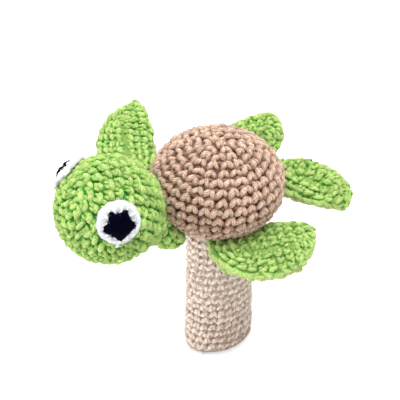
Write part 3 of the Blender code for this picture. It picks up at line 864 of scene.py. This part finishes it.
# Flippers: half moons worked round a spine on both faces, chained along the edge
flipperLook = {"slot": "green_yarn", "yarn": "green", "turned": True, "sink": 0.0006, "lining": -0.0005,
               "lay": 0.0005, "plump": 0.9, "loose": 0.3, "uneven": 0.22, "stray": 0.00025,
               "fuzz": 1000000.0, "seed": 40, "spare": 0.0006, "first": 0.15}
flipper = {"thickness": 0.0052, "section": 2.6, "leafPower": 0.82, "spineMargin": 0.85, "spineStart": 0.06,
           "stitch": 0.0040, "row": 0.0031}
flipperChain = {"link": flipper["stitch"], "width": 1.0, "sink": 0.0004, "tip": -0.6}
flippers = {
    "flipper_front_left": {"length": 0.0425, "upper": 0.0044, "lower": 0.0195,
                           "root": (0.0150, 0.0155, -0.0132), "angles": (72.0, -2.6, 19.0)},
    "flipper_front_right": {"length": 0.0485, "upper": 0.0195, "lower": 0.0044,
                            "root": (0.0195, -0.0181, -0.0031), "angles": (155.0, 4.8, -20.0)},
    "flipper_rear_left": {"length": 0.0340, "upper": 0.0135, "lower": 0.0062,
                          "root": (-0.0236, 0.0009, -0.0064), "angles": (42.4, -12.4, 14.6)},
    "flipper_rear_right": {"length": 0.0340, "upper": 0.0062, "lower": 0.0135,
                           "root": (-0.0106, -0.0209, -0.0032), "angles": (93.2, 4.5, 23.0)},
}


def leafPlace(shape, matrix, face):
    # placement on one face of a flat leaf, its root at the origin and its tip along +X
    half = (shape["upper"] + shape["lower"]) / 2
    length = shape["length"]

    def bow(share):
        return max(4.0 * share * (1.0 - share), 0.0) ** (flipper["leafPower"] / 2)

    def place(distance, height, turn):
        lengthways = math.cos(math.tau * turn)
        sideways = math.sin(math.tau * turn) * face
        width = shape["upper"] if sideways > 0 else shape["lower"]
        edge = Vector(((1.0 + lengthways) / 2 * length, 0.0, height * face))
        edge.y = math.copysign(width * bow(edge.x / length), sideways)
        reach = length / 2 - flipper["spineMargin"] * half
        spine = Vector((length / 2 + reach * lengthways, 0.0, height * face))
        spine.y = (shape["upper"] - shape["lower"]) / 2 * bow(spine.x / length)
        return matrix @ spine.lerp(edge, distance / half)

    return place, half


def leafSection(half):
    # half of a flipper's section, from the spine on its top out to its edge
    angles = np.linspace(math.radians(90.0), 0.0, fineness["section"])
    power = 2.0 / flipper["section"]
    section = np.stack([half * np.abs(np.cos(angles)) ** power,
                        flipper["thickness"] / 2 * np.abs(np.sin(angles)) ** power], axis=1)
    section[-1, 1] = 0.0
    return section[section[:, 0] >= flipper["spineStart"] * half]


def flipperWork(shape):
    heading, pitch, roll = (math.radians(angle) for angle in shape["angles"])
    forward, left, up = shape["root"]
    matrix = (Matrix.Translation(bodyShape["centre"] + Vector((left, -forward, up)))
              @ Matrix.Rotation(heading, 4, "Z") @ Matrix.Rotation(-pitch, 4, "Y")
              @ Matrix.Rotation(roll, 4, "X"))
    stitches, links = [], []
    for face in (1.0, -1.0):
        place, half = leafPlace(shape, matrix, face)
        surface, length = surfaceFrom(leafSection(half), place)
        stitches += spiralStitches(surface, length, flipper["stitch"], flipper["row"],
                                   spare=flipperLook["spare"], first=flipperLook["first"])
        links += edgeLinks(surface, length, flipperChain)
    return [[entry for entry in found if not insideBody(entry[0])] for found in (stitches, links)]


for index, (node, shape) in enumerate(flippers.items()):
    crochet(node + "_crochet", dict(flipperLook, node=node, seed=flipperLook["seed"] + index),
            *flipperWork(shape))
print("flippers worked:", ", ".join(flippers))


# Stuffing, seen only through a loose stitch

filling = {"scale": 900.0, "detail": 6.0, "dark": (0.70, 0.70, 0.68), "pale": (0.92, 0.92, 0.90),
           "relief": 0.7, "reliefDepth": 0.0004, "roughness": 0.95}


def fillingMaterial():
    material, tree, shader = newMaterial("fillingFibre")
    place = addNode(tree, "ShaderNodeTexCoord")
    tuft = noise(tree, place.outputs["Object"], filling["scale"], filling["detail"])
    bump = addNode(tree, "ShaderNodeBump", {"Strength": filling["relief"], "Height": tuft,
                                            "Distance": filling["reliefDepth"]})
    tree.links.new(mixed(tree, tuft, rgba(*filling["dark"]), rgba(*filling["pale"])),
                   shader.inputs["Base Color"])
    tree.links.new(bump.outputs["Normal"], shader.inputs["Normal"])
    shader.inputs["Roughness"].default_value = filling["roughness"]
    return material


fillingFibre = fillingMaterial()
for node in ("shell_stuffing", "head_stuffing"):
    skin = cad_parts[node].data
    skin.materials.clear()
    skin.materials.append(fillingFibre)

for item in (*strands.values(), looseFibre):
    bpy.data.objects.remove(item)


# Stage, light and camera

studio = {"floor": 3.0, "drop": 0.0016, "floorColour": (0.93, 0.93, 0.93), "floorRoughness": 0.9,
          "floorGlow": 0.5, "backdrop": (1.0, 1.0, 1.0), "sky": 0.68}
lamps = {
    "key": {"place": Vector((0.08, 0.04, 0.78)), "size": 0.5, "power": 7.0},
    "fill": {"place": Vector((-0.12, -0.72, 0.05)), "size": 0.5, "power": 5.2},
}
view = {"azimuth": 57.0, "elevation": 38.0, "distance": 0.600, "lens": 139.5, "sensor": 36.0,
        "right": -0.00658, "up": -0.00708}


def seenRays(tree):
    # 1 where the camera sees a surface, in a mirror or through glass too
    rays = addNode(tree, "ShaderNodeLightPath")
    seen = maths(tree, "MAXIMUM", rays.outputs["Is Camera Ray"], rays.outputs["Is Glossy Ray"])
    return maths(tree, "MAXIMUM", seen, rays.outputs["Is Transmission Ray"])


def makeFloor():
    material, tree, shader = newMaterial("paleFloor")
    shader.inputs["Base Color"].default_value = rgba(*studio["floorColour"])
    shader.inputs["Roughness"].default_value = studio["floorRoughness"]
    shader.inputs["Specular IOR Level"].default_value = 0.0
    shader.inputs["Emission Color"].default_value = rgba(*studio["backdrop"])
    tree.links.new(maths(tree, "MULTIPLY", seenRays(tree), studio["floorGlow"]),
                   shader.inputs["Emission Strength"])
    mesh = bmesh.new()
    bmesh.ops.create_grid(mesh, x_segments=8, y_segments=8, size=studio["floor"])
    floor = meshObject("floor", mesh)
    floor.location.z = -studio["drop"]
    floor.data.materials.append(material)


def makeLight():
    world = bpy.data.worlds.new("studio")
    world.use_nodes = True
    bpy.context.scene.world = world
    tree = world.node_tree
    sky = tree.nodes["Background"]
    extra = maths(tree, "MULTIPLY", seenRays(tree), 1.0 - studio["sky"])
    sky.inputs["Color"].default_value = rgba(*studio["backdrop"])
    tree.links.new(maths(tree, "ADD", extra, studio["sky"]), sky.inputs["Strength"])
    for name, lamp in lamps.items():
        light = bpy.data.lights.new(name, "AREA")
        light.shape = "DISK"
        light.size = lamp["size"]
        light.energy = lamp["power"]
        item = linked(name, light)
        item.location = lamp["place"]
        item.rotation_euler = (bodyShape["centre"] - lamp["place"]).to_track_quat("-Z", "Y").to_euler()


def makeCamera():
    azimuth, elevation = math.radians(view["azimuth"]), math.radians(view["elevation"])
    back = Vector((math.sin(azimuth) * math.cos(elevation), -math.cos(azimuth) * math.cos(elevation),
                   math.sin(elevation)))
    right = Vector((math.cos(azimuth), math.sin(azimuth), 0.0))
    up = back.cross(right)
    lens = bpy.data.cameras.new("camera")
    lens.lens = view["lens"]
    lens.sensor_width = view["sensor"]
    camera = linked("camera", lens)
    camera.location = (bodyShape["centre"] + back * view["distance"] + right * view["right"]
                       + up * view["up"])
    camera.rotation_euler = Matrix((right, up, back)).transposed().to_euler()
    bpy.context.scene.camera = camera


makeFloor()
makeLight()
makeCamera()
bpy.context.scene.view_settings.view_transform = "Standard"
print("stage, light and camera set")
